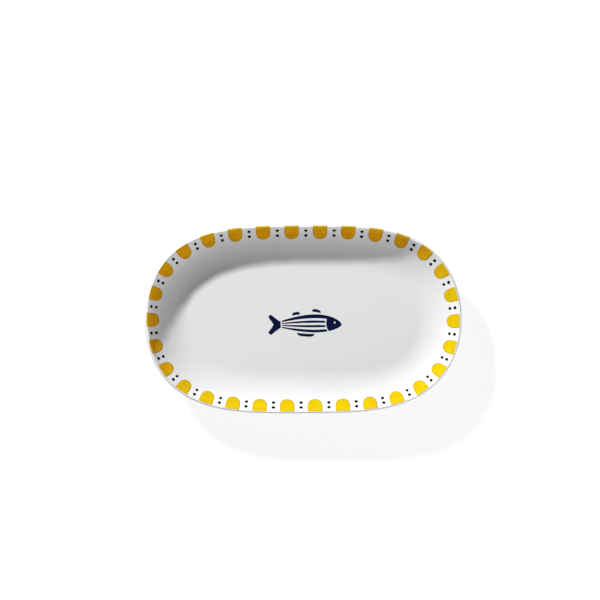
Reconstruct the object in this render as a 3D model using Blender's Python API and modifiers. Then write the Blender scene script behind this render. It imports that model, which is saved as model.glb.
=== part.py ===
"""Boat-shaped serving plate: an oval porcelain dish with an enamelled rim border and a small fish.

Units are metres. +Z is up, the foot ring stands on Z = 0 and the long axis lies along X.
"""

import math

import bmesh
import bpy
import numpy as np

# Overall size of the plate
LENGTH = 0.270
WIDTH = 0.161
HEIGHT = 0.023

# Powers of the oval |x / a|^p + |y / b|^q = 1, which bow the long sides and round the ends
SIDE_POWER = 3.5
END_POWER = 2.1

# Upright section of the dish
FLOOR_HEIGHT = 0.007
FLOOR_THICKNESS = 0.0045
COVE_RUN = 0.0375
LIP_RADIUS = 0.0015

# Foot ring under the floor, with sloping sides and eased edges
FOOT_INSET = 0.031
FOOT_WIDTH = 0.004
FOOT_SLOPE = 0.0008
FOOT_EASING = 0.0005

# Enamel: how thick it lies, and the clearance that keeps it a piece of its own
ENAMEL_THICKNESS = 0.00015
ENAMEL_GAP = 0.0001

# Rim border of tongue-shaped arches, seen in plan
ARCH_COUNT = 30
ARCH_WIDTH = 0.0125
ARCH_REACH = 0.0119
ARCH_ROUND = 0.0054
ARCH_END_POWER = 2.2

# Where the border starts along the outline, and how its even steps are swayed by hand laying
BORDER_SHIFT = -0.00175
BORDER_STRETCH = 0.0017
BORDER_SWAY = 0.0004
BORDER_WAVE = 0.0006

# Fish on the floor of the dish
FISH_X = 0.0018
FISH_Y = -0.0046
FISH_LENGTH = 0.063
FISH_DEPTH = 0.0155
TAIL_LENGTH = 0.0105
TAIL_SPAN = 0.0170
TAIL_ROOT = 0.0060
TAIL_TIP = 0.0024
HEAD_LENGTH = 0.0112
GILL_BULGE = 0.0022
EYE_RADIUS = 0.0008
WHITE_LINE = 0.0009

# How much higher the fish's back stands over its axis than its belly hangs, as a share of half its depth
BACK_RISE = 0.14

# Lengthwise stripes as shares of the body's depth; the back stripe runs up to the head
STRIPE_COUNT = 4
BACK_STRIPE = 0.21
INNER_STRIPE = 0.125
BELLY_STRIPE = 0.15
BACK_CLEARANCE = 0.0003

# Fins: how far they stand off the body and how deep they are
FIN_GAP = 0.0013
FIN_DEPTH = 0.0025

# Front end, rear end, side (1 above, -1 below) and extra lift of the rear end; the ends are shares of
# the fish's length from its middle, the lift a share of the fins' depth
FINS = {
    "fish_front_dorsal_fin": (0.216, 0.096, 1, 0.50),
    "fish_rear_dorsal_fin": (-0.069, -0.177, 1, 0.20),
    "fish_ventral_fin": (0.126, -0.114, -1, 0.15),
}

# How finely round shapes are divided
OUTLINE_SAMPLES = 20000
STATIONS_PER_ARCH = 4
COVE_STEPS = 5
LIP_INNER_STEPS = 2
LIP_OUTER_STEPS = 4
ARCH_LIP_ROWS = 3
OUTER_STEPS = 6
ARCH_ROUND_TURNS = (0.0, 35.0, 60.0, 80.0, 90.0)
FISH_STEPS = 10
EYE_STEPS = 14

# Section sizes that follow from the ones above
UNDERSIDE = FLOOR_HEIGHT - FLOOR_THICKNESS
WALL_ANGLE = 2.0 * math.atan2(HEIGHT - FLOOR_HEIGHT, COVE_RUN - LIP_RADIUS)
COVE_RADIUS = (COVE_RUN - LIP_RADIUS) / math.sin(WALL_ANGLE) - LIP_RADIUS
OUTER_TOP = HEIGHT - LIP_RADIUS * (1.0 + math.cos(WALL_ANGLE))
OUTER_RADIUS = (OUTER_TOP - UNDERSIDE) / (1.0 - math.cos(WALL_ANGLE))
OUTER_RUN = LIP_RADIUS * (1.0 - math.sin(WALL_ANGLE)) + OUTER_RADIUS * math.sin(WALL_ANGLE)


def clear_scene():
    for obj in list(bpy.data.objects):
        bpy.data.objects.remove(obj, do_unlink=True)


def add_collection(name):
    collection = bpy.data.collections.new(name)
    bpy.context.scene.collection.children.link(collection)
    return collection


def ceramic(name, color, roughness):
    """A glassy fired finish of one colour."""
    material = bpy.data.materials.new(name)
    material.use_nodes = True
    shader = material.node_tree.nodes["Principled BSDF"]
    shader.inputs["Base Color"].default_value = (*color, 1.0)
    shader.inputs["Roughness"].default_value = roughness
    shader.inputs["Metallic"].default_value = 0.0
    return material


def add_mesh_object(name, bm, material, collection, sharp_angle=40.0):
    """Turn a finished bmesh into a smooth-shaded object."""
    mesh = bpy.data.meshes.new(name)
    bm.to_mesh(mesh)
    bm.free()
    mesh.shade_smooth()
    mesh.set_sharp_from_angle(angle=math.radians(sharp_angle))
    mesh.materials.append(material)
    obj = bpy.data.objects.new(name, mesh)
    collection.objects.link(obj)
    return obj


def oval_stations():
    """Points on the outline and their outward normals, four to each arch of the border.

    The four stand at an arch's two sides, at its middle and about halfway to the next arch.
    Distances are measured along the outline from the +X end, counter-clockwise. A wave of one turn
    spaces the arches wider along the +Y side, and one of two turns evens them along both sides.
    """
    half_length = LENGTH / 2.0
    half_width = WIDTH / 2.0
    turn = np.linspace(0.0, 2.0 * math.pi, OUTLINE_SAMPLES + 1)
    cosine = np.cos(turn)
    sine = np.sin(turn)
    x = half_length * np.sign(cosine) * np.abs(cosine) ** (2.0 / SIDE_POWER)
    y = half_width * np.sign(sine) * np.abs(sine) ** (2.0 / END_POWER)
    travelled = np.concatenate(([0.0], np.cumsum(np.hypot(np.diff(x), np.diff(y)))))

    pitch = travelled[-1] / ARCH_COUNT
    across = np.array((-ARCH_WIDTH / 2.0, 0.0, ARCH_WIDTH / 2.0, pitch / 2.0))
    count = np.arange(ARCH_COUNT)
    round_border = 2.0 * math.pi * count / ARCH_COUNT
    one_turn = BORDER_STRETCH * np.cos(round_border) + BORDER_SWAY * np.sin(round_border)
    two_turns = BORDER_WAVE * np.cos(2.0 * round_border)
    middles = BORDER_SHIFT + pitch * count - one_turn + two_turns
    distance = (middles[:, None] + across[None, :]).ravel() % travelled[-1]

    points = np.column_stack((np.interp(distance, travelled, x), np.interp(distance, travelled, y)))
    scaled = points / (half_length, half_width)
    powers = np.array((SIDE_POWER, END_POWER))
    slope = powers * np.sign(scaled) * np.abs(scaled) ** (powers - 1.0) / (half_length, half_width)
    normals = slope / np.linalg.norm(slope, axis=1, keepdims=True)
    return points, normals


def spread(start, end, steps):
    return [start + (end - start) * step / steps for step in range(steps + 1)]


def cove_point(angle, lift=0.0):
    """(inset, height) on the inner wall: angle is its slope, 0 where the floor begins."""
    radius = COVE_RADIUS - lift
    height = FLOOR_HEIGHT + COVE_RADIUS - radius * math.cos(angle)
    return COVE_RUN - radius * math.sin(angle), height


def lip_point(angle, lift=0.0):
    """(inset, height) on the round lip: angle 0 is its crest, positive towards the well."""
    radius = LIP_RADIUS + lift
    height = HEIGHT - LIP_RADIUS + radius * math.cos(angle)
    return LIP_RADIUS + radius * math.sin(angle), height


def outer_point(angle):
    """(inset, height) on the outside of the wall: angle is its slope."""
    height = UNDERSIDE + OUTER_RADIUS * (1.0 - math.cos(angle))
    return OUTER_RUN - OUTER_RADIUS * math.sin(angle), height


def cove_angle(inset):
    return math.asin((COVE_RUN - inset) / COVE_RADIUS)


def lip_angles():
    """Angles that go over the lip, from the inner wall by the crest to the outer wall."""
    inner = spread(WALL_ANGLE, 0.0, LIP_INNER_STEPS)
    outer = spread(0.0, WALL_ANGLE - math.pi, LIP_OUTER_STEPS)
    return inner + outer[1:]


def arch_rows():
    """Slope of the wall and share of the full width, for the rows of an arch's round end.

    In plan the end is half of an oval, a little fuller than an ellipse at its corners.
    """
    rows = []
    power = 2.0 / ARCH_END_POWER
    for degrees in ARCH_ROUND_TURNS:
        turn = math.radians(degrees)
        inset = ARCH_REACH - ARCH_ROUND * (1.0 - math.sin(turn) ** power)
        rows.append((cove_angle(inset), max(0.0, math.cos(turn)) ** power))
    return rows


def dish_section():
    """(inset, height) from the edge of the floor over the lip and the foot ring to the underside."""
    arch_angles = [angle for angle, share in reversed(arch_rows())]
    cove_angles = spread(0.0, arch_angles[0], COVE_STEPS)[:-1]
    section = [cove_point(angle) for angle in cove_angles + arch_angles]
    section += [lip_point(angle) for angle in lip_angles()[:-1]]

    foot_top = FOOT_INSET - FOOT_SLOPE
    foot_angle = math.asin((OUTER_RUN - foot_top) / OUTER_RADIUS)
    section += [outer_point(angle) for angle in spread(WALL_ANGLE, foot_angle, OUTER_STEPS)]
    foot_inner = FOOT_INSET + FOOT_WIDTH
    section += [
        (FOOT_INSET, FOOT_EASING),
        (FOOT_INSET + FOOT_EASING, 0.0),
        (foot_inner - FOOT_EASING, 0.0),
        (foot_inner, FOOT_EASING),
        (foot_inner + FOOT_SLOPE, UNDERSIDE),
    ]
    return section


def ring(points, normals, inset, height):
    """The outline drawn in by the inset along its normals, at one height."""
    plan = points - inset * normals
    return np.column_stack((plan, np.full(len(plan), height)))


def add_body(points, normals, material, collection):
    """The dish in one piece with its foot ring, lofted through rings of its section."""
    bm = bmesh.new()
    loops = []
    for inset, height in dish_section():
        loops.append([bm.verts.new(point) for point in ring(points, normals, inset, height)])
    count = len(points)
    for lower, upper in zip(loops, loops[1:]):
        for k in range(count):
            after = (k + 1) % count
            bm.faces.new((lower[k], lower[after], upper[after], upper[k]))
    bm.faces.new(loops[0])
    bm.faces.new(loops[-1])
    bmesh.ops.recalc_face_normals(bm, faces=bm.faces[:])
    return add_mesh_object("porcelain_body", bm, material, collection)


def add_arch(number, points, normals, material, collection):
    """One enamel tongue that starts on the crest of the lip and ends round on the wall.

    Its faces are wound to look up out of the dish, and the enamel grows that way from them.
    """
    over_lip = reversed(lip_angles()[:ARCH_LIP_ROWS])
    rows = [(lip_point(angle, ENAMEL_GAP), 1.0) for angle in over_lip]
    rows += [(cove_point(angle, ENAMEL_GAP), share) for angle, share in arch_rows()]
    first = number * STATIONS_PER_ARCH
    bm = bmesh.new()
    lines = []
    for (inset, height), share in rows[:-1]:
        left, middle, right = ring(points[first:first + 3], normals[first:first + 3], inset, height)
        left = middle + share * (left - middle)
        right = middle + share * (right - middle)
        lines.append([bm.verts.new(point) for point in (left, middle, right)])
    (inset, height), share = rows[-1]
    tip = bm.verts.new(ring(points[first + 1:first + 2], normals[first + 1:first + 2], inset, height)[0])
    for outer, inner in zip(lines, lines[1:]):
        for k in (0, 1):
            bm.faces.new((outer[k], outer[k + 1], inner[k + 1], inner[k]))
    for k in (0, 1):
        bm.faces.new((lines[-1][k], lines[-1][k + 1], tip))
    obj = add_mesh_object(f"rim_arch_{number + 1:02d}", bm, material, collection)
    shell = obj.modifiers.new("enamel", "SOLIDIFY")
    shell.thickness = ENAMEL_THICKNESS
    shell.offset = 1.0
    shell.use_even_offset = True
    return obj


def body_half_depth(along):
    """Half the fish's depth at a share of its body's length, from tail root (0) to nose (1).

    Behind the deepest place the outline falls to the tail root on a power curve. In front of it
    the outline is a quarter of a pointed ellipse.
    """
    deepest = 0.55
    if along > deepest:
        forward = (along - deepest) / (1.0 - deepest)
        return FISH_DEPTH / 2.0 * max(0.0, 1.0 - forward ** 2.2) ** 0.66
    back = (deepest - along) / deepest
    root = TAIL_ROOT / FISH_DEPTH
    return FISH_DEPTH / 2.0 * (1.0 - (1.0 - root) * back ** 1.8)


def fish_body_length():
    return FISH_LENGTH - TAIL_LENGTH - WHITE_LINE


def body_along(x):
    """Share of the body's length at a distance x behind (negative) or ahead of the fish's middle."""
    return (x - FISH_LENGTH / 2.0) / fish_body_length() + 1.0


def gill_x(level):
    """The gill cover's edge: an arc that bulges backwards at mid height (level 0)."""
    return FISH_LENGTH / 2.0 - HEAD_LENGTH - GILL_BULGE * (1.0 - level ** 2)


def level_point(x, level):
    """A point of the body at a level between its belly (-1) and its back (1)."""
    return x, (level + BACK_RISE) * body_half_depth(body_along(x))


def head_outline():
    """From the top of the gill edge round the nose and back up the gill edge."""
    nose = FISH_LENGTH / 2.0
    turns = spread(0.0, math.pi / 2.0, FISH_STEPS)
    places = [gill_x(1.0) + HEAD_LENGTH * math.sin(turn) for turn in turns[:-1]]
    top = [level_point(x, 1.0) for x in places]
    bottom = [level_point(x, -1.0) for x in reversed(places)]
    gill = [level_point(gill_x(level), level) for level in spread(-1.0, 1.0, FISH_STEPS)[1:-1]]
    return top + [(nose, 0.0)] + bottom + gill


def eye_outline():
    """A round eye left open in the head."""
    x = FISH_LENGTH / 2.0 - HEAD_LENGTH * 0.54
    y = FISH_DEPTH * 0.11
    turns = [2.0 * math.pi * step / EYE_STEPS for step in range(EYE_STEPS)]
    return [(x + EYE_RADIUS * math.cos(turn), y + EYE_RADIUS * math.sin(turn)) for turn in turns]


def stripe_levels():
    """Upper and lower level of each stripe, from the back to the belly, with equal white gaps between."""
    shares = [BACK_STRIPE] + [INNER_STRIPE] * (STRIPE_COUNT - 2) + [BELLY_STRIPE]
    gap = (1.0 - sum(shares)) / (STRIPE_COUNT - 1)
    levels = []
    upper = 1.0
    for share in shares:
        lower = upper - 2.0 * share
        levels.append((upper, lower))
        upper = lower - 2.0 * gap
    return levels


def stripe_outline(number):
    """One lengthwise band that keeps its share of the body's depth from gill to tail root."""
    upper, lower = stripe_levels()[number]
    clearance = BACK_CLEARANCE if number == 0 else WHITE_LINE
    start = FISH_LENGTH / 2.0 - fish_body_length()
    top = [level_point(x, upper) for x in spread(start, gill_x(upper) - clearance, FISH_STEPS)]
    bottom = [level_point(x, lower) for x in spread(gill_x(lower) - clearance, start, FISH_STEPS)]
    return top + bottom


def curve_between(start, control, end, steps):
    """Points on a quadratic curve, without its last point."""
    points = []
    for share in spread(0.0, 1.0, steps)[:-1]:
        a = (1.0 - share) ** 2
        b = 2.0 * share * (1.0 - share)
        c = share ** 2
        points.append(tuple(a * s + b * m + c * e for s, m, e in zip(start, control, end)))
    return points


def tail_outline():
    """A forked tail with nearly straight front edges, round tips and a round notch."""
    tip_x = -FISH_LENGTH / 2.0
    root = (tip_x + TAIL_LENGTH, TAIL_ROOT * 0.42)
    front = (tip_x + TAIL_LENGTH * 0.69, TAIL_SPAN * 0.27)
    front_tip = (tip_x + TAIL_TIP, TAIL_SPAN / 2.0)
    corner = (tip_x, TAIL_SPAN / 2.0)
    back_tip = (tip_x, TAIL_SPAN / 2.0 - TAIL_TIP)
    back = (tip_x + TAIL_LENGTH * 0.29, TAIL_SPAN * 0.15)
    notch = (tip_x + TAIL_LENGTH * 0.41, 0.0)
    steps = FISH_STEPS // 2
    upper = curve_between(root, front, front_tip, steps)
    upper += curve_between(front_tip, corner, back_tip, steps)
    upper += curve_between(back_tip, back, notch, steps)
    lower = [(x, -y) for x, y in reversed(upper)]
    return upper + [notch] + lower


def fin_outline(front, rear, side, lift):
    """A slim fin that follows the body's outline at a gap, with its rear end lifted further off.

    Along its length its depth follows the oval u^4 + v^2 = 1, which gives it blunt round ends.
    """
    foot = []
    edge = []
    for share in spread(0.0, 1.0, FISH_STEPS):
        x, level = level_point((front + share * (rear - front)) * FISH_LENGTH, side)
        stand = FIN_GAP + lift * share * FIN_DEPTH
        depth = FIN_DEPTH * (1.0 - (2.0 * share - 1.0) ** 4) ** 0.5
        foot.append((x, level + side * stand))
        edge.append((x, level + side * (stand + depth)))
    return foot + edge[-2:0:-1]


def add_flat_enamel(name, outlines, material, collection):
    """A flat island of enamel on the floor, filled inside its first outline and open in the others."""
    curve = bpy.data.curves.new(name, "CURVE")
    curve.dimensions = "2D"
    curve.fill_mode = "BOTH"
    curve.extrude = ENAMEL_THICKNESS / 2.0
    for outline in outlines:
        spline = curve.splines.new("POLY")
        spline.points.add(len(outline) - 1)
        for point, (x, y) in zip(spline.points, outline):
            point.co = (x, y, 0.0, 1.0)
        spline.use_cyclic_u = True
    curve.materials.append(material)
    obj = bpy.data.objects.new(name, curve)
    obj.location = (FISH_X, FISH_Y, FLOOR_HEIGHT + ENAMEL_GAP + ENAMEL_THICKNESS / 2.0)
    collection.objects.link(obj)
    return obj


def add_fish(material, collection):
    """Head, lengthwise stripes, tail and fins, each an island with white showing between."""
    add_flat_enamel("fish_head", [head_outline(), eye_outline()], material, collection)
    for number in range(STRIPE_COUNT):
        add_flat_enamel(f"fish_stripe_{number + 1}", [stripe_outline(number)], material, collection)
    add_flat_enamel("fish_tail", [tail_outline()], material, collection)
    for name, fin in FINS.items():
        add_flat_enamel(name, [fin_outline(*fin)], material, collection)


def build_plate():
    clear_scene()
    collection = add_collection("boat_shaped_plate")
    porcelain = ceramic("white_porcelain", (0.80, 0.80, 0.79), 0.15)
    yellow = ceramic("yellow_enamel", (0.75, 0.47, 0.005), 0.35)
    navy = ceramic("navy_enamel", (0.006, 0.008, 0.062), 0.30)
    points, normals = oval_stations()
    add_body(points, normals, porcelain, collection)
    for number in range(ARCH_COUNT):
        add_arch(number, points, normals, yellow, collection)
    add_fish(navy, collection)


build_plate()
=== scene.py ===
"""Looks of a boat-shaped serving plate: a glazed porcelain dish with a yellow rim border and a navy fish.

Metres, +Z up, the foot ring on Z = 0 and the long axis along X.
"""

import math

import bmesh
import bpy
import numpy as np
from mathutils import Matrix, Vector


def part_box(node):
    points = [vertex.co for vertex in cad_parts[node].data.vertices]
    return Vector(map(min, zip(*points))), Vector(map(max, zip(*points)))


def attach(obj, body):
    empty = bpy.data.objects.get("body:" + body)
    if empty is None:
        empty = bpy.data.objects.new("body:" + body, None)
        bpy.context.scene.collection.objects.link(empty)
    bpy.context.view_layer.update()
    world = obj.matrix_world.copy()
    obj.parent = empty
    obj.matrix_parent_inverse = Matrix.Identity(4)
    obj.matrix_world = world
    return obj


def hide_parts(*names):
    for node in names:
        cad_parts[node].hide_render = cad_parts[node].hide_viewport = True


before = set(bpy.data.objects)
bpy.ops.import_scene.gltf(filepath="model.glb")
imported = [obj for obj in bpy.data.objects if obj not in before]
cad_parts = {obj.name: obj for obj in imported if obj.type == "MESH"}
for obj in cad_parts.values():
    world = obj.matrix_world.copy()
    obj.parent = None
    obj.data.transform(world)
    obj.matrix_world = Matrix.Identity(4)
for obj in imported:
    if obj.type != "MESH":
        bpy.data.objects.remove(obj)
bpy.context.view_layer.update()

# The dish: one slip-cast porcelain body with an oval well, a coved wall, a round lip and a foot ring.
# It is fired white under a clear gloss glaze that covers all but the foot's bearing face, which is
# wiped bare so that it doesn't stick to the kiln shelf.
dish_low, dish_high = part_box("porcelain_body")
HALF_LENGTH = min(dish_high.x, -dish_low.x)
HALF_WIDTH = min(dish_high.y, -dish_low.y)
RIM_HEIGHT = dish_high.z
SIDE_POWER = 3.5
END_POWER = 2.1
WELL_FLOOR = 0.007
UNDERSIDE = 0.0025
COVE_RUN = 0.0375
LIP_RADIUS = 0.0015
LIP_CREST = 0.0010
LIP_WANDER = 0.0015
LIP_EASE = 0.0050
LIP_POWER = 1.6
WALL_SLOPE = 2.0 * math.atan2(RIM_HEIGHT - WELL_FLOOR, COVE_RUN - LIP_RADIUS)
LIP_RUN = LIP_RADIUS * WALL_SLOPE
COVE_RADIUS = (COVE_RUN - LIP_RADIUS) / math.sin(WALL_SLOPE) - LIP_RADIUS
OUTER_TOP = RIM_HEIGHT - LIP_RADIUS * (1.0 + math.cos(WALL_SLOPE))
OUTER_RADIUS = (OUTER_TOP - UNDERSIDE) / (1.0 - math.cos(WALL_SLOPE))
OUTER_RUN = LIP_RADIUS * (1.0 - math.sin(WALL_SLOPE)) + OUTER_RADIUS * math.sin(WALL_SLOPE)
FOOT_TOP_INSET = 0.0302
FOOT_OUTER_INSET = 0.0311
FOOT_INNER_INSET = 0.0349
RECESS_INSET = 0.0358
UNDERSIDE_INSET = 0.0390
FOOT_EASES = (0.0011, 0.0006, 0.0006, 0.0010)
DISH_STATIONS = 640

GLAZE_WHITE = (0.762, 0.764, 0.771, 1.0)
GLAZE_COOL = (0.744, 0.752, 0.768, 1.0)
LIP_WARM = (0.770, 0.762, 0.748, 1.0)
BISCUIT = (0.700, 0.655, 0.590, 1.0)
BISCUIT_DARK = (0.630, 0.5895, 0.531, 1.0)
BARE_BELOW = (0.0008, 0.0011)
LIP_TINT_BELOW = (0.0011, 0.0001)

oval_turn = np.linspace(0.0, 2.0 * math.pi, 20001)
oval_x = HALF_LENGTH * np.sign(np.cos(oval_turn)) * np.abs(np.cos(oval_turn)) ** (2.0 / SIDE_POWER)
oval_y = HALF_WIDTH * np.sign(np.sin(oval_turn)) * np.abs(np.sin(oval_turn)) ** (2.0 / END_POWER)
oval_travel = np.concatenate(([0.0], np.cumsum(np.hypot(np.diff(oval_x), np.diff(oval_y)))))
RIM_LENGTH = oval_travel[-1]


def rim_line(distance):
    """Points and outward normals of the oval |x/a|^p + |y/b|^q = 1 in plan.

    Distances run along the oval from its +X end, counter-clockwise, and are looked up in a fine table.
    """
    along = distance % RIM_LENGTH
    points = np.stack((np.interp(along, oval_travel, oval_x), np.interp(along, oval_travel, oval_y)), -1)
    halves = np.array((HALF_LENGTH, HALF_WIDTH))
    powers = np.array((SIDE_POWER, END_POWER))
    scaled = points / halves
    slope = powers * np.sign(scaled) * np.abs(scaled) ** (powers - 1.0) / halves
    return points, slope / np.linalg.norm(slope, axis=-1, keepdims=True)


def bow(centre_inset, centre_height, radius, start, end, steps):
    """(inset, height) on a circle: its centre minus the radius times (sine, cosine) of the angle."""
    angle = np.linspace(start, end, steps)
    return np.stack((centre_inset - radius * np.sin(angle), centre_height - radius * np.cos(angle)), -1)


def lip_crest(normals):
    """Inset of the lip's crest, which lies further in along the far side and the left end.

    It wanders by the sixth power of how far the outward normal points that way.
    """
    far = np.maximum(normals[..., 1], 0.0) ** 6
    left = np.maximum(-normals[..., 0], 0.0) ** 6
    return LIP_CREST + LIP_WANDER * (far + left)


def wall_line(run, lift, crest):
    """(inset, height) at a run along the section from the lip's crest, positive into the well.

    Down the wall the line is the cove's circle, and on the lip a smaller circle. Both are pushed so that
    the crest comes to its own inset, by an amount that eases off down the wall. Outside the crest it is
    a quarter of the oval |u|^n + |v|^n = 1. The lift stands square off the circles, and straight up off
    the oval.
    """
    on_lip = run < LIP_RUN
    over_lip = np.clip(run / LIP_RADIUS, 0.0, WALL_SLOPE)
    down_cove = WALL_SLOPE - np.maximum(run - LIP_RUN, 0.0) / COVE_RADIUS
    outside = np.minimum(run, 0.0)
    lip_reach = LIP_RADIUS + lift
    cove_reach = COVE_RADIUS - lift
    ease = np.clip(run / LIP_EASE, 0.0, 1.0)
    push = (crest - LIP_RADIUS) * (1.0 - ease ** 2 * (3.0 - 2.0 * ease))
    drop = LIP_RADIUS * (1.0 - (1.0 - (-outside / crest) ** LIP_POWER) ** (1.0 / LIP_POWER))
    inset = push + np.where(on_lip, LIP_RADIUS + lip_reach * np.sin(over_lip) + outside,
                            COVE_RUN - cove_reach * np.sin(down_cove))
    height = np.where(on_lip, RIM_HEIGHT - LIP_RADIUS + lip_reach * np.cos(over_lip) - drop,
                      WELL_FLOOR + COVE_RADIUS - cove_reach * np.cos(down_cove))
    return inset, height


def wall_run(inset):
    """Run along the section from the lip's crest to an inset on the cove, where the push has eased off."""
    slope = np.arcsin((COVE_RUN - inset) / COVE_RADIUS)
    return LIP_RUN + COVE_RADIUS * (WALL_SLOPE - slope)


def quadratic(start, control, end, steps):
    """Points on a quadratic curve from start to end, pulled towards the control point."""
    start, control, end = np.array((start, control, end))
    share = np.linspace(0.0, 1.0, steps)[:, None]
    return (1.0 - share) ** 2 * start + 2.0 * share * (1.0 - share) * control + share ** 2 * end


def eased(corners, reaches, steps=8):
    """A line through corners, each inner corner turned into a quadratic curve.

    The curve starts and ends at the corner's reach from it, along the two straight sides.
    """
    corners = np.array(corners)
    runs = [corners[:1]]
    for before, corner, after, reach in zip(corners, corners[1:], corners[2:], reaches):
        start = corner + reach * (before - corner) / np.linalg.norm(before - corner)
        end = corner + reach * (after - corner) / np.linalg.norm(after - corner)
        runs.append(quadratic(start, corner, end, steps))
    return np.concatenate(runs + [corners[-1:]])


def add_piece(name, points, faces, finish):
    """A smooth mesh object at the origin with its faces turned outwards."""
    mesh = bpy.data.meshes.new(name)
    mesh.from_pydata(points.tolist(), [], faces)
    bm = bmesh.new()
    bm.from_mesh(mesh)
    bmesh.ops.recalc_face_normals(bm, faces=bm.faces[:])
    bm.to_mesh(mesh)
    bm.free()
    mesh.shade_smooth()
    mesh.materials.append(finish)
    piece = bpy.data.objects.new(name, mesh)
    bpy.context.scene.collection.objects.link(piece)
    return piece


def all_round(line):
    """The same (inset, height) line at every station of the dish."""
    return np.repeat(line[:, :, None], DISH_STATIONS, 2)


def dish_rings():
    """Rings of the dish from the middle of its floor over the lip and foot to the middle of its underside.

    The section gives each ring's inset from the oval, along its normals, and its height. On the floor
    and the underside the last ring is drawn in towards the middle by a share.
    """
    points, normals = rim_line(np.arange(DISH_STATIONS) * RIM_LENGTH / DISH_STATIONS)
    crest = lip_crest(normals)
    cove_runs = np.linspace(wall_run(COVE_RUN), LIP_RUN, 40)
    lip_runs = np.linspace(LIP_RUN, 0.0, 12)[1:]
    inner_runs = np.concatenate((cove_runs, lip_runs))[:, None] * np.ones_like(crest)
    outer_runs = -crest * np.sin(np.linspace(0.0, math.pi / 2.0, 14)[1:, None])
    inside = np.stack(wall_line(np.concatenate((inner_runs, outer_runs)), 0.0, crest), 1)
    below_lip = bow(LIP_RADIUS, RIM_HEIGHT - LIP_RADIUS, LIP_RADIUS,
                    -1.5 * math.pi, WALL_SLOPE - 2.0 * math.pi, 8)
    foot_slope = math.asin((OUTER_RUN - FOOT_TOP_INSET) / OUTER_RADIUS)
    outer = bow(OUTER_RUN, UNDERSIDE + OUTER_RADIUS, OUTER_RADIUS, WALL_SLOPE, foot_slope, 25)
    corners = [outer[-2], outer[-1], (FOOT_OUTER_INSET, 0.0), (FOOT_INNER_INSET, 0.0),
               (RECESS_INSET, UNDERSIDE), (UNDERSIDE_INSET, UNDERSIDE)]
    foot = eased(corners, FOOT_EASES)
    beyond = np.concatenate((below_lip[1:], outer[1:-1], foot[1:]))
    section = np.concatenate((inside, all_round(beyond)))
    plan = points[None] - section[:, 0, :, None] * normals[None]
    walls = np.concatenate((plan, section[:, 1, :, None]), -1)
    share = np.linspace(0.0, 1.0, 14)[1:-1, None, None]
    floor = walls[:1] * np.concatenate((np.repeat(share, 2, -1), np.ones_like(share)), -1)
    beneath = walls[-1:] * np.concatenate((np.repeat(share[::-1], 2, -1), np.ones_like(share)), -1)
    return np.concatenate((floor, walls, beneath))


def closed_rings(rings):
    """Points and faces through closed rings, with the first and last ring fanned to their middles."""
    count, stations = rings.shape[:2]
    points = np.concatenate((rings.reshape(-1, 3), rings[0].mean(0)[None], rings[-1].mean(0)[None]))
    number = np.arange(count * stations).reshape(count, stations)
    after = np.roll(number, -1, 1)
    quads = np.stack((number[:-1], after[:-1], after[1:], number[1:]), -1).reshape(-1, 4)
    first = np.stack((np.full(stations, count * stations), after[0], number[0]), -1)
    last = np.stack((np.full(stations, count * stations + 1), number[-1], after[-1]), -1)
    return points, quads.tolist() + first.tolist() + last.tolist()


class Wire:
    """One socket of a material's nodes. Arithmetic on wires and numbers adds Math nodes."""

    def __init__(self, tree, socket=None):
        self.tree = tree
        self.socket = socket

    def node(self, kind, settings=None, sockets=None, output=0):
        """Add a node: its settings first, then its sockets by name or number, linked or set."""
        made = self.tree.nodes.new(kind)
        for name, value in (settings or {}).items():
            setattr(made, name, value)
        for name, value in (sockets or {}).items():
            if isinstance(value, Wire):
                self.tree.links.new(value.socket, made.inputs[name])
            else:
                made.inputs[name].default_value = value
        return Wire(self.tree, made.outputs[output] if made.outputs else None)

    def math(self, operation, *values):
        """A Math node on these wires and numbers."""
        return self.node("ShaderNodeMath", {"operation": operation}, dict(enumerate(values)))

    def __add__(self, other):
        return self.math("ADD", self, other)

    def __radd__(self, other):
        return self.math("ADD", other, self)

    def __sub__(self, other):
        return self.math("SUBTRACT", self, other)

    def __rsub__(self, other):
        return self.math("SUBTRACT", other, self)

    def __mul__(self, other):
        return self.math("MULTIPLY", self, other)

    def __rmul__(self, other):
        return self.math("MULTIPLY", other, self)

    def rise(self, low, high):
        """0 below low, 1 above high, and a smooth step between them."""
        sockets = {"Value": self, "From Min": low, "From Max": high}
        return self.node("ShaderNodeMapRange", {"interpolation_type": "SMOOTHSTEP"}, sockets)

    def noise(self, scale, detail=2.0):
        """Soft noise from 0 to 1 at the place that this vector gives."""
        return self.node("ShaderNodeTexNoise", None, {"Vector": self, "Scale": scale, "Detail": detail})

    def blend(self, first, second):
        """First colour where this is 0, second where it is 1."""
        return self.node("ShaderNodeMix", {"data_type": "RGBA"}, {0: self, 6: first, 7: second}, 2)

    def bump(self, strength, distance):
        """A normal raised by this height, whose full rise from 0 to 1 is the distance."""
        sockets = {"Height": self, "Strength": strength, "Distance": distance}
        return self.node("ShaderNodeBump", None, sockets)

    def split(self):
        """The three numbers of this vector."""
        made = self.node("ShaderNodeSeparateXYZ", None, {0: self}).socket.node
        return [Wire(self.tree, socket) for socket in made.outputs]

    def surface(self, sockets):
        """Finish the material as a principled surface with these sockets."""
        shader = self.node("ShaderNodeBsdfPrincipled", None, sockets)
        self.node("ShaderNodeOutputMaterial", None, {"Surface": shader})


def new_finish(name):
    """An empty material, and a wire that starts its nodes."""
    material = bpy.data.materials.new(name)
    material.use_nodes = True
    material.node_tree.nodes.clear()
    return material, Wire(material.node_tree)


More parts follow.
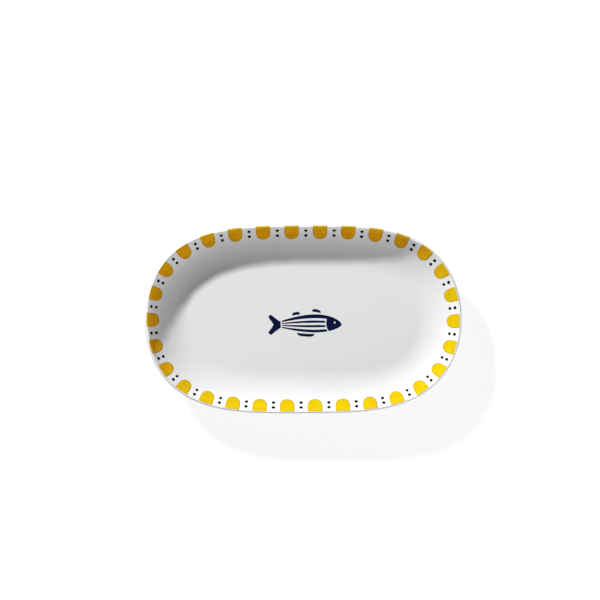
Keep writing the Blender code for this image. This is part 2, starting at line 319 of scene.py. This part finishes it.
glaze, start = new_finish("white_porcelain_glaze")
place = start.node("ShaderNodeTexCoord", None, None, 3)
height = place.split()[2]
cloud = place.noise(22.0, 3.0)
ripple = place.noise(95.0, 2.0)
grain = place.noise(5200.0, 2.0)
bare = 1.0 - (height + 0.0005 * place.noise(160.0, 3.0)).rise(*BARE_BELOW)
crest = height.rise(*(RIM_HEIGHT - below for below in LIP_TINT_BELOW))
white = cloud.rise(0.3, 0.7).blend(GLAZE_WHITE, GLAZE_COOL)
white = (0.6 * crest).blend(white, LIP_WARM)
clay = grain.rise(0.3, 0.7).blend(BISCUIT, BISCUIT_DARK)
relief = (1.0 - bare) * ripple * 0.6 + bare * grain * 0.4
start.surface({
    "Base Color": bare.blend(white, clay),
    "Roughness": 0.20 + 0.06 * ripple + 0.52 * bare,
    "Coat Weight": 0.15 * (1.0 - bare),
    "Coat Roughness": 0.10,
    "Normal": relief.bump(0.25, 0.0002),
})

dish = add_piece("porcelain_dish", *closed_rings(dish_rings()), glaze)
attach(dish, "root")
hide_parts("porcelain_body")


# The rim border's arches: thirty tongues of yellow overglaze enamel, laid on the glaze as a printed
# transfer and fused to it in a second firing. Each starts on the lip and ends round on the wall, with a
# thicker, darker edge and faint streaks. Towards the far left of the dish, where the arches lie in the
# lamp's shade, the yellow is painted deeper amber: this is painted shade, not a change in the enamel.
# Along the lip a strip is blended to a paler yellow on the near right, and to ochre in place of the
# painted amber on the far left.
ARCH_COUNT = 30
ARCH_PITCH = RIM_LENGTH / ARCH_COUNT
ARCH_HALF_WIDTH = 0.00625
ARCH_REACH = 0.0119
ARCH_ROUND = 0.0054
ARCH_END_POWER = 2.2
BORDER_SHIFT = -0.00175
BORDER_STRETCH = 0.0017
BORDER_SWAY = 0.0004
BORDER_WAVE = 0.0006
ARCH_START = 0.00129
ARCH_END_START = 0.00043
BORDER_LEAN = (0.00012, 0.00024)
# Painted shade: the direction towards the far left, and the range over which the arches turn amber.
PAINTED_SHADE_SIDE = (-0.37, 0.93)
PAINTED_SHADE_RISE = (-0.034, 0.030)
FILM_THICKNESS = 0.00013
FILM_EDGE = 0.00035
FILM_RIDGE = 0.22
FILM_SINK = 0.00003
DARK_EDGE = (0.0003, 0.0011)
DARK_EDGE_START = (0.0009, 0.0022)
LIP_STRIP_START = (-0.0001, 0.0010)

YELLOW = (0.632, 0.472, 0.002, 1.0)
ORANGE = (0.620, 0.388, 0.002, 1.0)
# Painted shade: amber copies of the yellow for the arches on the far left, which lie in the lamp's shade.
PAINTED_SHADE_AMBER = (0.800, 0.385, 0.002, 1.0)
PAINTED_SHADE_DEEP_AMBER = (0.690, 0.300, 0.002, 1.0)
EDGE = (0.400, 0.240, 0.006, 1.0)
LIT_SIDE_LIP_YELLOW = (0.860, 0.680, 0.080, 1.0)
SHADE_SIDE_LIP_OCHRE = (0.490, 0.360, 0.010, 1.0)


def on_rim(flat, lift):
    """Lay (distance along the rim, run down the wall) on the inner wall, raised by a lift."""
    points, normals = rim_line(flat[..., 0])
    inset, height = wall_line(flat[..., 1], lift, lip_crest(normals))
    return np.concatenate((points - inset[..., None] * normals, height[..., None]), -1)


def film(left, right, lay, closed=False, across=13):
    """Points, faces and film values of a thin layer of enamel between two edge curves.

    Rows go straight from the left to the right curve, closer together at the edges. The top rises
    from the border in a quarter circle, with a low ridge just inside it. The underside is the same
    grid sunk a little into the glaze, and walls join the two round the border. The film values are
    the flat place and the distance to the border.
    """
    share = (0.5 - 0.5 * np.cos(np.linspace(0.0, math.pi, across)))[None, :, None]
    flat = left[:, None] + share * (right - left)[:, None]
    rows = len(flat)
    lines = [flat[:, 0], flat[:, -1]]
    if not closed:
        lines += [flat[0], flat[-1]]
    border = np.full(flat.shape[:2], np.inf)
    for line in lines:
        border = np.minimum(border, np.linalg.norm(flat[:, :, None] - line[None, None], axis=-1).min(-1))
    rise = np.sqrt(1.0 - (1.0 - np.minimum(border / FILM_EDGE, 1.0)) ** 2)
    ridge = 1.0 + FILM_RIDGE * np.exp(-((border - 1.6 * FILM_EDGE) / (0.8 * FILM_EDGE)) ** 2)
    top = lay(flat, FILM_THICKNESS * rise * ridge)
    below = lay(flat, np.full(border.shape, -FILM_SINK))
    number = np.arange(rows * across).reshape(rows, across)
    if closed:
        number = np.concatenate((number, number[:1]))
    cells = np.stack((number[:-1, :-1], number[:-1, 1:], number[1:, 1:], number[1:, :-1]), -1)
    cells = cells.reshape(-1, 4)
    under = rows * across
    edges = [np.stack((number[:-1, 0], number[1:, 0]), -1),
             np.stack((number[1:, -1], number[:-1, -1]), -1)]
    if not closed:
        edges += [np.stack((number[-1, :-1], number[-1, 1:]), -1),
                  np.stack((number[0, 1:], number[0, :-1]), -1)]
    edges = np.concatenate(edges)
    walls = np.stack((edges[:, 0], edges[:, 1], edges[:, 1] + under, edges[:, 0] + under), -1)
    faces = np.concatenate((cells, cells[:, ::-1] + under, walls))
    values = np.concatenate((flat, border[..., None]), -1).reshape(-1, 3)
    points = np.concatenate((top.reshape(-1, 3), below.reshape(-1, 3)))
    return points, faces, np.concatenate((values, values))


def add_film(name, films, finish):
    """One piece made of one or more films, with the film values as an attribute."""
    starts = np.cumsum([0] + [len(points) for points, faces, values in films])
    faces = np.concatenate([one[1] + offset for one, offset in zip(films, starts)])
    piece = add_piece(name, np.concatenate([one[0] for one in films]), faces.tolist(), finish)
    attribute = piece.data.attributes.new("film", "FLOAT_VECTOR", "POINT")
    values = np.concatenate([one[2] for one in films])
    attribute.data.foreach_set("vector", values.astype(np.float32).ravel())
    piece.data.set_sharp_from_angle(angle=math.radians(50.0))
    return piece


yellow_enamel, start = new_finish("yellow_rim_enamel")
place = start.node("ShaderNodeTexCoord", None, None, 3)
values = start.node("ShaderNodeAttribute", {"attribute_name": "film"}, None, 1)
along, down, border = values.split()
streak_place = start.node("ShaderNodeCombineXYZ", None, {0: 0.14 * along, 1: down, 2: 0.0})
streak = streak_place.noise(420.0, 2.0)
patch = place.noise(240.0, 3.0)
place_x, place_y = place.split()[:2]
# Painted shade: 0 on the near right, 1 on the far left, where the arches lie in the lamp's shade.
painted_shade = (PAINTED_SHADE_SIDE[1] * place_y + PAINTED_SHADE_SIDE[0] * place_x).rise(*PAINTED_SHADE_RISE)
lines = (0.7 * streak + 0.3 * patch).rise(0.38, 0.66)
body = painted_shade.blend(lines.blend(YELLOW, ORANGE), lines.blend(PAINTED_SHADE_AMBER, PAINTED_SHADE_DEEP_AMBER))
edge = (1.0 - border.rise(*DARK_EDGE)) * down.rise(*DARK_EDGE_START)
# A strip along the lip: paler yellow on the near right; on the far left its ochre replaces the painted
# amber.
lip_strip = 1.0 - down.rise(*LIP_STRIP_START)
body = (lip_strip * (0.5 + 0.4 * painted_shade)).blend(body, painted_shade.blend(LIT_SIDE_LIP_YELLOW, SHADE_SIDE_LIP_OCHRE))
start.surface({
    "Base Color": (0.75 * edge).blend(body, EDGE),
    "Roughness": 0.42 + 0.16 * streak,
    "Specular IOR Level": 0.10,
    "Normal": (0.7 * streak + 0.3 * patch).bump(0.3, 0.00012),
})


def border_place(number):
    """Distance along the rim to an arch's middle: even steps, swayed by waves of one and two turns."""
    turn = 2.0 * math.pi * number / ARCH_COUNT
    one_turn = BORDER_STRETCH * math.cos(turn) + BORDER_SWAY * math.sin(turn)
    two_turns = BORDER_WAVE * math.cos(2.0 * turn)
    return BORDER_SHIFT + number * ARCH_PITCH - one_turn + two_turns


def arch_film(number):
    """One tongue: full width from about the lip's crest, then half of a full oval in plan.

    The border leans a little towards one side, so there the tongues start further out on the lip. On the
    two ends of the dish they start further in.
    """
    turn = np.radians(np.linspace(0.0, 89.6, 24))
    power = 2.0 / ARCH_END_POWER
    middle = border_place(number)
    outward = rim_line(middle)[1]
    start_inset = ARCH_START + ARCH_END_START * outward[0] ** 2 - float(outward @ BORDER_LEAN)
    lip_start = start_inset - float(lip_crest(outward))
    straight = np.linspace(lip_start, wall_run(ARCH_REACH - ARCH_ROUND), 26)[:-1]
    run = np.concatenate((straight, wall_run(ARCH_REACH - ARCH_ROUND * (1.0 - np.sin(turn) ** power))))
    half = ARCH_HALF_WIDTH * np.concatenate((np.ones_like(straight), np.cos(turn) ** power))
    return film(np.stack((middle - half, run), -1), np.stack((middle + half, run), -1), on_rim)


for number in range(ARCH_COUNT):
    arch = add_film(f"enamel_arch_{number + 1:02d}", [arch_film(number)], yellow_enamel)
    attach(arch, "root")
    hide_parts(f"rim_arch_{number + 1:02d}")


# The rim border's dots: a pair of small round spots of dark enamel between each two arches, one above
# the other on the wall. They come on the same printed transfer as the arches and are fired with it.
DOT_INSETS = (0.00500, 0.00900)
DOT_RADII = (0.00150, 0.00144)
DARK_NAVY = (0.0020, 0.0022, 0.0050, 1.0)
DARK_NAVY_THIN = (0.0050, 0.0055, 0.0110, 1.0)


def dot_film(number, inset, radius):
    """A round spot: two half circles, left and right of its middle."""
    turn = np.radians(np.linspace(8.0, 172.0, 15))
    middle = border_place(number + 0.5)
    run = wall_run(inset) - radius * np.cos(turn)
    half = radius * np.sin(turn)
    return film(np.stack((middle - half, run), -1), np.stack((middle + half, run), -1), on_rim, across=9)


dark_enamel, start = new_finish("dark_dot_enamel")
place = start.node("ShaderNodeTexCoord", None, None, 3)
mottle = place.noise(900.0, 2.0)
start.surface({
    "Base Color": mottle.rise(0.35, 0.7).blend(DARK_NAVY, DARK_NAVY_THIN),
    "Roughness": 0.50 + 0.14 * mottle,
    "Specular IOR Level": 0.04,
    "Normal": mottle.bump(0.2, 0.0001),
})
spots = [dot_film(number, inset, radius)
         for number in range(ARCH_COUNT) for inset, radius in zip(DOT_INSETS, DOT_RADII)]
dots = add_film("rim_dots", spots, dark_enamel)
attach(dots, "root")


# The fish on the floor of the well: islands of navy enamel with white glaze showing between them.
# It is a printed transfer too: a head with an open round eye, four lengthwise stripes, a forked tail
# and three fins, fired on like the border.
FISH_X = 0.0018
FISH_Y = -0.0046
FISH_LENGTH = 0.063
FISH_DEPTH = 0.0155
TAIL_LENGTH = 0.0105
TAIL_SPAN = 0.0170
TAIL_ROOT = 0.0060
TAIL_TIP = 0.0024
TAIL_FOOT = 0.42
TAIL_NOTCH = 0.41
FRONT_BEND = (0.69, 0.27)
BACK_BEND = (0.29, 0.15)
HEAD_LENGTH = 0.0112
GILL_BULGE = 0.0022
EYE_RADIUS = 0.0008
EYE_BACK = 0.54
EYE_RISE = 0.11
WHITE_LINE = 0.0009
DEEPEST = 0.55
NOSE_POWERS = (2.2, 0.66)
REAR_POWER = 1.8
BACK_RISE = 0.14
STRIPE_COUNT = 4
BACK_STRIPE = 0.21
INNER_STRIPE = 0.125
BELLY_STRIPE = 0.15
FIN_GAP = 0.0013
FIN_DEPTH = 0.0025
FISH_BODY = FISH_LENGTH - TAIL_LENGTH - WHITE_LINE

NAVY = (0.0038, 0.0056, 0.0370, 1.0)
NAVY_THIN = (0.0075, 0.0105, 0.0520, 1.0)


def on_floor(flat, lift):
    """Lay a flat place of the fish on the floor of the well, raised by a lift."""
    return np.stack((flat[..., 0] + FISH_X, flat[..., 1] + FISH_Y, WELL_FLOOR + lift), -1)


def body_half_depth(x):
    """Half the fish's depth at x from its middle.

    From the deepest place forward the outline is a quarter of a pointed ellipse. Behind it the outline
    falls to the tail root on a power curve.
    """
    along = (x - FISH_LENGTH / 2.0) / FISH_BODY + 1.0
    forward = np.clip((along - DEEPEST) / (1.0 - DEEPEST), 0.0, 1.0)
    back = np.clip((DEEPEST - along) / DEEPEST, 0.0, 1.0)
    root = TAIL_ROOT / FISH_DEPTH
    nose = (1.0 - forward ** NOSE_POWERS[0]) ** NOSE_POWERS[1]
    rear = 1.0 - (1.0 - root) * back ** REAR_POWER
    return FISH_DEPTH / 2.0 * np.where(along > DEEPEST, nose, rear)


def at_level(x, level):
    """Points of the body at a level between its belly (-1) and its back (1), which stands higher."""
    return np.stack((x, (level + BACK_RISE) * body_half_depth(x)), -1)


def gill_x(level):
    """The gill cover's edge: an arc that bulges backwards at mid height (level 0)."""
    return FISH_LENGTH / 2.0 - HEAD_LENGTH - GILL_BULGE * (1.0 - level ** 2)


def head_film():
    """The head between its round eye and its outline, both taken by the angle about the eye."""
    eye = np.array((FISH_LENGTH / 2.0 - EYE_BACK * HEAD_LENGTH, EYE_RISE * FISH_DEPTH))
    rise = np.sin(np.linspace(0.0, math.pi / 2.0, 60))
    x = gill_x(1.0) + HEAD_LENGTH * rise
    level = np.linspace(-1.0, 1.0, 60)[1:-1]
    outline = np.concatenate((at_level(x, 1.0), at_level(x[-2::-1], -1.0),
                              at_level(gill_x(level), level)))
    around = np.arctan2(outline[:, 1] - eye[1], outline[:, 0] - eye[0])
    order = np.argsort(around)
    turn = np.linspace(-math.pi, math.pi, 96, endpoint=False)
    edge = np.stack([np.interp(turn, around[order], outline[order, axis], period=2.0 * math.pi)
                     for axis in (0, 1)], -1)
    rim = eye + EYE_RADIUS * np.stack((np.cos(turn), np.sin(turn)), -1)
    return film(rim, edge, on_floor, closed=True, across=17)


def stripe_film(number):
    """A band that keeps its share of the body's depth from the gill to the tail root.

    The white gaps between the bands are equal. The back's band runs on into the head.
    """
    shares = np.array([BACK_STRIPE] + [INNER_STRIPE] * (STRIPE_COUNT - 2) + [BELLY_STRIPE])
    gap = (1.0 - shares.sum()) / (STRIPE_COUNT - 1)
    upper = 1.0 - 2.0 * (shares[:number].sum() + number * gap)
    start = FISH_LENGTH / 2.0 - FISH_BODY
    reach = 2.0 * FILM_EDGE if number == 0 else -WHITE_LINE
    edges = []
    for level in (upper, upper - 2.0 * shares[number]):
        edges.append(at_level(np.linspace(start, gill_x(level) + reach, 60), level))
    return film(*edges, on_floor)


def tail_film():
    """The forked tail between its front edge and its notched back edge, from one round tip to the other.

    Each tip is a quadratic curve round a corner, shared half and half by the two edges.
    """
    tip_x = -FISH_LENGTH / 2.0
    root_x = tip_x + TAIL_LENGTH
    front_tip = np.array((tip_x + TAIL_TIP, TAIL_SPAN / 2.0))
    corner = np.array((tip_x, TAIL_SPAN / 2.0))
    back_tip = np.array((tip_x, TAIL_SPAN / 2.0 - TAIL_TIP))
    apex = 0.25 * front_tip + 0.5 * corner + 0.25 * back_tip
    root = (root_x, TAIL_FOOT * TAIL_ROOT)
    notch = (tip_x + TAIL_NOTCH * TAIL_LENGTH, 0.0)
    front_bend = (tip_x + FRONT_BEND[0] * TAIL_LENGTH, FRONT_BEND[1] * TAIL_SPAN)
    back_bend = (tip_x + BACK_BEND[0] * TAIL_LENGTH, BACK_BEND[1] * TAIL_SPAN)
    front = np.concatenate((quadratic(root, front_bend, front_tip, 24)[:-1],
                            quadratic(front_tip, 0.5 * (front_tip + corner), apex, 9)[:-1]))
    back = np.concatenate((quadratic(notch, back_bend, back_tip, 24)[:-1],
                           quadratic(back_tip, 0.5 * (back_tip + corner), apex, 9)[:-1]))
    mirror = np.array((1.0, -1.0))
    left = np.concatenate((front[::-1], [(root_x, 0.0)], front * mirror))
    right = np.concatenate((back[::-1], back[:1], back * mirror))
    return film(left, right, on_floor)


def fin_film(front, rear, side, lift):
    """A slim fin that follows the body's outline at a gap; side is 1 above, -1 below.

    It runs from front to rear, in shares of the fish's length from its middle. Along it its depth follows
    the oval u^4 + v^2 = 1, which gives it blunt round ends. Its rear end lifts further off, by a share of
    its depth.
    """
    across = np.sin(np.linspace(-0.49 * math.pi, 0.49 * math.pi, 40))
    share = 0.5 + 0.5 * across
    foot = at_level((front + share * (rear - front)) * FISH_LENGTH, side)
    foot[:, 1] += side * (FIN_GAP + lift * share * FIN_DEPTH)
    edge = foot.copy()
    edge[:, 1] += side * FIN_DEPTH * np.sqrt(1.0 - across ** 4)
    return film(foot, edge, on_floor)


navy_enamel, start = new_finish("navy_fish_enamel")
place = start.node("ShaderNodeTexCoord", None, None, 3)
values = start.node("ShaderNodeAttribute", {"attribute_name": "film"}, None, 1)
mottle = 0.6 * place.noise(420.0, 3.0) + 0.4 * place.noise(1500.0, 2.0)
edge = 1.0 - values.split()[2].rise(0.00005, 0.0004)
start.surface({
    "Base Color": (0.7 * mottle.rise(0.4, 0.7) + 0.3 * edge).blend(NAVY, NAVY_THIN),
    "Roughness": 0.24 + 0.16 * mottle,
    "Specular IOR Level": 0.12,
    "Normal": mottle.bump(0.25, 0.0001),
})
islands = {"head": head_film(), "tail": tail_film()}
for number in range(STRIPE_COUNT):
    islands[f"stripe_{number + 1}"] = stripe_film(number)
fins = {
    "front_dorsal_fin": {"front": 0.216, "rear": 0.096, "side": 1, "lift": 0.50},
    "rear_dorsal_fin": {"front": -0.069, "rear": -0.177, "side": 1, "lift": 0.20},
    "ventral_fin": {"front": 0.126, "rear": -0.114, "side": -1, "lift": 0.15},
}
for name, fin in fins.items():
    islands[name] = fin_film(**fin)
for name, island in islands.items():
    piece = add_film(f"enamel_{name}", [island], navy_enamel)
    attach(piece, "root")
    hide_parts(f"fish_{name}")


# The studio: a plain white table under soft light. A lamp at the upper left of the picture models the
# well, a broad weak one fills from the lower right, and the table and surroundings look white.
TABLE_SIZE = 14.0
TABLE_DROP = 0.0001
TABLE_SHADE = (0.20, 0.20, 0.20, 1.0)
NEAR_GLOW = (0.86, 0.86, 0.86, 1.0)
GLOW_RISE = (0.4, 2.0)
AMBIENT = 0.01
CEILING = 0.10
CEILING_RISE = (0.15, 0.6)
WHITE = (1.0, 1.0, 1.0, 1.0)
LAMPS = {
    "key": {"azimuth": 127.0, "elevation": 23.7, "distance": 4.0,
            "breadth": 0.50, "depth": 0.30, "watts": 295.0},
    "fill": {"azimuth": -56.0, "elevation": 24.0, "distance": 2.0,
             "breadth": 1.2, "depth": 1.2, "watts": 28.0},
}


def seen_rays(start):
    """1 for rays that show the studio (straight, off gloss or through glass), 0 for those that light."""
    path = start.node("ShaderNodeLightPath").socket.node.outputs
    camera, glossy, through = (Wire(start.tree, path[f"Is {kind} Ray"])
                               for kind in ("Camera", "Glossy", "Transmission"))
    return start.math("MAXIMUM", start.math("MAXIMUM", camera, glossy), through)


half = TABLE_SIZE / 2.0
plan = ((-half, -half), (half, -half), (half, half), (-half, half))
corners = [(x, y, -TABLE_DROP) for x, y in plan]
table = bpy.data.meshes.new("table")
table.from_pydata(corners, [], [(0, 1, 2, 3)])
floor = bpy.data.objects.new("table", table)
bpy.context.scene.collection.objects.link(floor)
paper, start = new_finish("white_table")
place = start.node("ShaderNodeTexCoord", None, None, 3)
away = start.node("ShaderNodeVectorMath", {"operation": "LENGTH"}, {0: place}, 1).rise(*GLOW_RISE)
dull = start.node("ShaderNodeBsdfDiffuse", None, {"Color": TABLE_SHADE})
glow = start.node("ShaderNodeEmission", None, {"Color": away.blend(NEAR_GLOW, WHITE), "Strength": 1.0})
lit = start.node("ShaderNodeAddShader", None, {0: dull, 1: glow})
shown = start.node("ShaderNodeMixShader", None, {0: seen_rays(start), 1: dull, 2: lit})
start.node("ShaderNodeOutputMaterial", None, {"Surface": shown})
table.materials.append(paper)

world = bpy.data.worlds.new("studio")
world.use_nodes = True
world.node_tree.nodes.clear()
start = Wire(world.node_tree)
upward = start.node("ShaderNodeTexCoord").split()[2]
shown = 1.0 - (1.0 - CEILING) * upward.rise(*CEILING_RISE)
strength = AMBIENT + (shown - AMBIENT) * seen_rays(start)
sky = start.node("ShaderNodeBackground", None, {"Color": WHITE, "Strength": strength})
start.node("ShaderNodeOutputWorld", None, {"Surface": sky})
bpy.context.scene.world = world

for name, lamp in LAMPS.items():
    light = bpy.data.lights.new(name, "AREA")
    light.shape = "ELLIPSE"
    light.size = lamp["breadth"]
    light.size_y = lamp["depth"]
    light.energy = lamp["watts"]
    azimuth = math.radians(lamp["azimuth"])
    tilt = math.radians(90.0 - lamp["elevation"])
    holder = bpy.data.objects.new(name, light)
    holder.rotation_euler = (tilt, 0.0, azimuth + math.pi / 2.0)
    reach = lamp["distance"] * math.sin(tilt)
    lamp_height = lamp["distance"] * math.cos(tilt)
    holder.location = (reach * math.cos(azimuth), reach * math.sin(azimuth), lamp_height)
    holder.visible_glossy = False
    bpy.context.scene.collection.objects.link(holder)


# The camera: almost straight above the plate, leaning a little towards the viewer's side.
LEAN = math.radians(3.5)
ROLL = math.radians(-0.25)
CAMERA_DISTANCE = 1.4
PIXELS_PER_METRE = 1175.0
FRAME_PIXELS = 600.0
AIM = (-0.0025, 0.0157, RIM_HEIGHT)

camera = bpy.data.cameras.new("camera")
camera.sensor_width = 36.0
camera.lens = camera.sensor_width * CAMERA_DISTANCE * PIXELS_PER_METRE / FRAME_PIXELS
eye = bpy.data.objects.new("camera", camera)
eye.rotation_euler = (LEAN, 0.0, ROLL)
eye.location = (AIM[0] + CAMERA_DISTANCE * math.sin(LEAN) * math.sin(ROLL),
                AIM[1] - CAMERA_DISTANCE * math.sin(LEAN) * math.cos(ROLL),
                AIM[2] + CAMERA_DISTANCE * math.cos(LEAN))
bpy.context.scene.collection.objects.link(eye)
bpy.context.scene.camera = eye
bpy.context.scene.view_settings.view_transform = "Standard"
